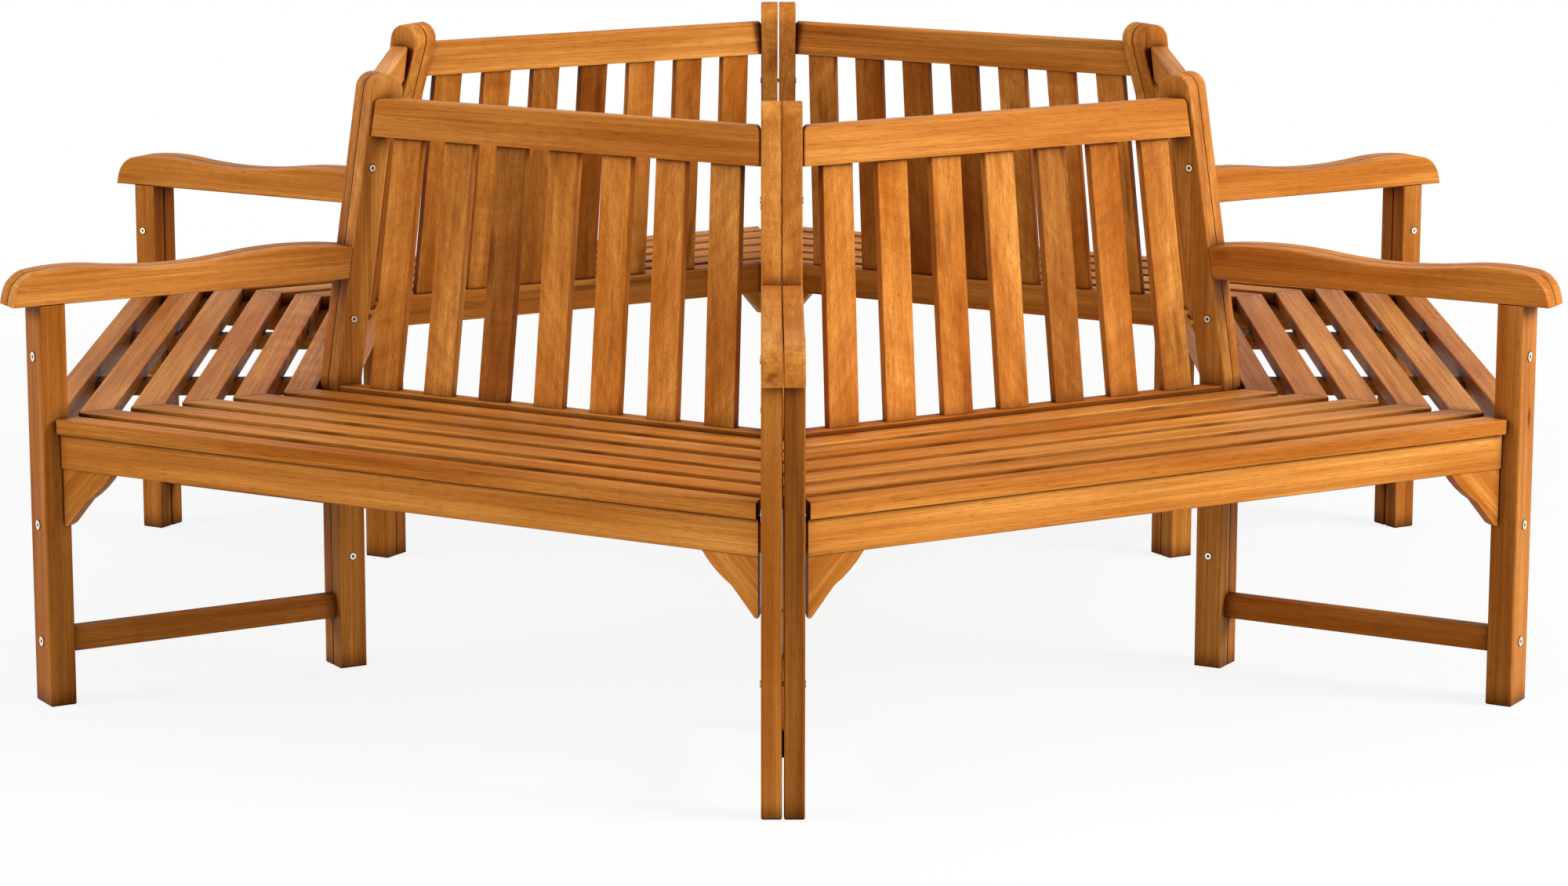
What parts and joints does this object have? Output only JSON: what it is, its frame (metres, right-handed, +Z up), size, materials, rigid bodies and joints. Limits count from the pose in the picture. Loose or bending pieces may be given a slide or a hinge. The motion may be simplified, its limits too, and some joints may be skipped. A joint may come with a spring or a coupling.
{
  "type": "tree bench",
  "caption": "Hexagonal slatted wooden bench with a raked back and arms, made to stand round a tree trunk and seat people facing outwards.",
  "frame": {"origin": "centre of the ring on the ground, midway between opposite corner frames", "axes": "+Z up; -Y towards the front corner frame, the one nearest the viewer; +X to the viewer's right, square to two opposite seat sections"},
  "size_m": [2.2404, 2.556, 0.8899],
  "materials": {
    "leg_wood": "oiled, satin",
    "post_wood": "oiled, satin",
    "arm_wood": "oiled, satin",
    "side_rail_wood": "oiled, satin",
    "stretcher_wood": "oiled, satin",
    "apron_wood": "oiled, satin",
    "seat_slat_wood": "oiled, satin",
    "top_rail_wood": "oiled, satin",
    "back_slat_wood": "oiled, satin",
    "lower_rail_wood": "oiled, satin",
    "bearer_wood": "oiled, satin",
    "bracket_wood": "oiled, satin",
    "zinc_steel": "zinc plated, dull"
  },
  "bodies": {
    "root": {"apron_brackets": "bracket_wood", "arms_front": "arm_wood", "arms_left_front": "arm_wood", "arms_left_rear": "arm_wood", "arms_rear": "arm_wood", "arms_right_front": "arm_wood", "arms_right_rear": "arm_wood", "back_lower_rails": "lower_rail_wood", "back_posts_front": "post_wood", "back_posts_left_front": "post_wood", "back_posts_left_rear": "post_wood", "back_posts_rear": "post_wood", "back_posts_right_front": "post_wood", "back_posts_right_rear": "post_wood", "back_slats_front_left": "back_slat_wood", "back_slats_front_right": "back_slat_wood", "back_slats_left": "back_slat_wood", "back_slats_rear_left": "back_slat_wood", "back_slats_rear_right": "back_slat_wood", "back_slats_right": "back_slat_wood", "back_top_rail_front_left": "top_rail_wood", "back_top_rail_front_right": "top_rail_wood", "back_top_rail_left": "top_rail_wood", "back_top_rail_rear_left": "top_rail_wood", "back_top_rail_rear_right": "top_rail_wood", "back_top_rail_right": "top_rail_wood", "frame_joining_bolts": "zinc_steel", "frame_sleeve_nuts": "zinc_steel", "leg_stretcher_front": "stretcher_wood", "leg_stretcher_left_front": "stretcher_wood", "leg_stretcher_left_rear": "stretcher_wood", "leg_stretcher_rear": "stretcher_wood", "leg_stretcher_right_front": "stretcher_wood", "leg_stretcher_right_rear": "stretcher_wood", "outer_legs_front": "leg_wood", "outer_legs_left_front": "leg_wood", "outer_legs_left_rear": "leg_wood", "outer_legs_rear": "leg_wood", "outer_legs_right_front": "leg_wood", "outer_legs_right_rear": "leg_wood", "seat_apron_front_left": "apron_wood", "seat_apron_front_right": "apron_wood", "seat_apron_left": "apron_wood", "seat_apron_rear_left": "apron_wood", "seat_apron_rear_right": "apron_wood", "seat_apron_right": "apron_wood", "seat_bearers": "bearer_wood", "seat_side_rails_front": "side_rail_wood", "seat_side_rails_left_front": "side_rail_wood", "seat_side_rails_left_rear": "side_rail_wood", "seat_side_rails_rear": "side_rail_wood", "seat_side_rails_right_front": "side_rail_wood", "seat_side_rails_right_rear": "side_rail_wood", "seat_slats_front_left": "seat_slat_wood", "seat_slats_front_right": "seat_slat_wood", "seat_slats_left": "seat_slat_wood", "seat_slats_rear_left": "seat_slat_wood", "seat_slats_rear_right": "seat_slat_wood", "seat_slats_right": "seat_slat_wood", "wide_leg_face_bolts": "zinc_steel"}
  },
  "joints": []
}
